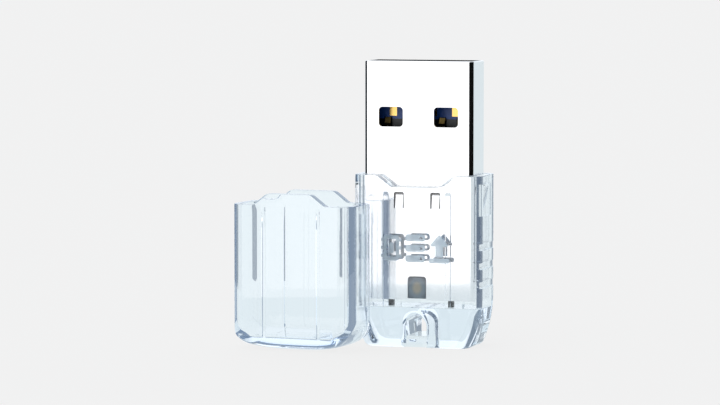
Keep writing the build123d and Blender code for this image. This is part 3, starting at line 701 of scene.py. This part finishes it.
def floor_paper():
    """Pale paper, lit mostly from within so that it shows evenly. It has its own tone through the clear
    plastic, in reflections and for matt surfaces."""
    material, tree, shader = new_material("floor_paper")
    shader.inputs["Roughness"].default_value = 1.0
    shader.inputs["Specular IOR Level"].default_value = 0.0
    shade = PAPER * FLOOR_DIFFUSE
    two_colours(tree, shader, noise(tree, 40), [shade * 0.998] * 3, [shade] * 3)
    path = add_node(tree, "ShaderNodeLightPath")
    glow = mixed(tree, path.outputs["Is Camera Ray"], FLOOR_SEEN_THROUGH, [PAPER * FLOOR_GLOW] * 3)
    glow = mixed(tree, path.outputs["Is Glossy Ray"], glow, FLOOR_MIRRORED)
    glow = mixed(tree, path.outputs["Is Diffuse Ray"], glow, FLOOR_BOUNCE)
    tree.links.new(glow, shader.inputs["Emission Color"])
    shader.inputs["Emission Strength"].default_value = 1.0
    return material


def make_floor():
    """A plain pale floor, wide enough to fill every view."""
    mesh = bmesh.new()
    bmesh.ops.create_circle(mesh, cap_ends=True, radius=FLOOR_RADIUS, segments=96)
    floor = mesh_object("floor", mesh)
    floor.data.materials.append(floor_paper())


def stand_card(name, turns, radius, colour, mirrored_in=True, seen_through=True):
    """A curved card on the floor between two directions, in degrees about Z from the front to the right.
    It shows only in reflections, through the clear plastic, or in both."""
    mesh = bmesh.new()
    rows = []
    for k in range(CARD_STEPS + 1):
        turn = math.radians(turns[0] + (turns[1] - turns[0]) * k / CARD_STEPS)
        x, y = radius * math.sin(turn), -radius * math.cos(turn)
        rows.append([mesh.verts.new((x, y, z)) for z in (0.0, CARD_HEIGHT)])
    for left, right in zip(rows, rows[1:]):
        mesh.faces.new((left[0], right[0], right[1], left[1]))
    card = mesh_object(name, mesh)
    card.data.materials.append(glowing(name, colour))
    card.visible_camera = False
    card.visible_diffuse = False
    card.visible_shadow = False
    card.visible_glossy = mirrored_in
    card.visible_transmission = seen_through


def ramp(tree, value, stops):
    """A colour ramp given as (place, colour) stops."""
    node = add_node(tree, "ShaderNodeValToRGB")
    points = node.color_ramp.elements
    while len(points) < len(stops):
        points.new(0.5)
    for point, (place, colour) in zip(points, stops):
        point.position = place
        point.color = (*colour, 1)
    tree.links.new(value, node.inputs["Fac"])
    return node.outputs["Color"]


def math_node(tree, operation, a, b=None):
    """A maths node on one or two values, each a socket or a number."""
    node = add_node(tree, "ShaderNodeMath", operation=operation)
    for socket, value in zip(node.inputs, (a, b)):
        if value is None:
            continue
        if isinstance(value, (int, float)):
            socket.default_value = value
        else:
            tree.links.new(value, socket)
    return node.outputs["Value"]


def make_world():
    """Soft boxes in front, behind and above and dark flags at the sides, as directions of the world. Matt
    surfaces get more of it, and the camera sees plain paper."""
    world = bpy.data.worlds.new("studio")
    bpy.context.scene.world = world
    world.use_nodes = True
    tree = world.node_tree
    background = tree.nodes["Background"]
    coords = add_node(tree, "ShaderNodeTexCoord")
    split = add_node(tree, "ShaderNodeSeparateXYZ")
    tree.links.new(coords.outputs["Generated"], split.inputs["Vector"])
    x, y, z = (split.outputs[k] for k in "XYZ")
    turn = math_node(tree, "ARCTAN2", x, math_node(tree, "MULTIPLY", y, -1.0))
    place = math_node(tree, "ADD", math_node(tree, "DIVIDE", turn, 2 * math.pi), 0.5)

    def at(degrees):
        return degrees / 360 + 0.5

    around = ramp(tree, place, [
        (0.0, BACK_LEFT_LIGHT), (at(-140), BACK_LEFT_LIGHT), (at(-128), SIDE_SHADE), (at(-66), SIDE_SHADE),
        (at(-54), FRONT_LIGHT), (at(0), FRONT_LIGHT), (at(8), SIDE_SHADE), (at(124), SIDE_SHADE),
        (at(138), BACK_RIGHT_LIGHT), (at(168), BACK_RIGHT_LIGHT), (1.0, BACK_LEFT_LIGHT),
    ])
    above = ramp(tree, z, [(0.4, (0, 0, 0)), (0.7, (1, 1, 1))])
    path = add_node(tree, "ShaderNodeLightPath")
    top = ramp(tree, place, [
        (0.0, TOP_LIGHT), (at(-10), TOP_LIGHT), (at(20), TOP_SHADE), (at(150), TOP_SHADE), (1.0, TOP_LIGHT),
    ])
    light = mixed(tree, above, around, top)
    seen = mixed(tree, path.outputs["Is Camera Ray"], light, (PAPER, PAPER, PAPER))
    tree.links.new(seen, background.inputs["Color"])
    strength = remap(tree, path.outputs["Is Diffuse Ray"], 1.0, DIFFUSE_FILL)
    tree.links.new(strength, background.inputs["Strength"])


CAMERA_TURN, CAMERA_TILT, CAMERA_LENS = 17.886, 4.301, 166.17
CAMERA_DISTANCE, CAMERA_HEIGHT, CAMERA_SLIDE = 0.35158, 0.04157, -0.006825


def make_camera():
    """A little to the right and above, through a long lens."""
    turn, tilt = math.radians(CAMERA_TURN), math.radians(CAMERA_TILT)
    distance, height, slide = CAMERA_DISTANCE, CAMERA_HEIGHT, CAMERA_SLIDE
    data = bpy.data.cameras.new("camera")
    data.sensor_width = 36
    data.lens = CAMERA_LENS
    data.clip_start = 0.01
    data.clip_end = 20
    camera = bpy.data.objects.new("camera", data)
    bpy.context.collection.objects.link(camera)
    right = Vector((math.cos(turn), math.sin(turn), 0))
    camera.location = Vector((distance * math.sin(turn), -distance * math.cos(turn), height)) + right * slide
    camera.rotation_euler = (math.pi / 2 - tilt, 0, turn)
    bpy.context.scene.camera = camera


# ---------------------------------------------------------------- making
def add_piece(piece, body, slot, nodes):
    """Dress a new piece, fix it to its body and let it stand for its CAD nodes."""
    piece.data.materials.append(materials[slot])
    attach(piece, body)
    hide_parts(*nodes)


make_camera()
materials = make_materials()
dress_cad_nodes(materials)
add_piece(make_housing(), "drive", "clear_housing", ["housing"])
add_piece(make_cap(), "cap", "clear_cap", ["cap"])
make_floor()
stand_card("flag_right", (2, 116), 0.08, BLACK, seen_through=False)
stand_card("flag_left", (-55, -130), 0.08, FLAG_LEFT, seen_through=False)
stand_card("shade_left", (-96, -138), 0.078, CARD_SHADE, mirrored_in=False)
stand_card("shade_right", (92, 136), 0.078, CARD_SHADE, mirrored_in=False)
stand_card("card_front", (-55, 2), 0.07, CARD_LIGHT)
make_world()
bpy.context.scene.view_settings.view_transform = "Standard"
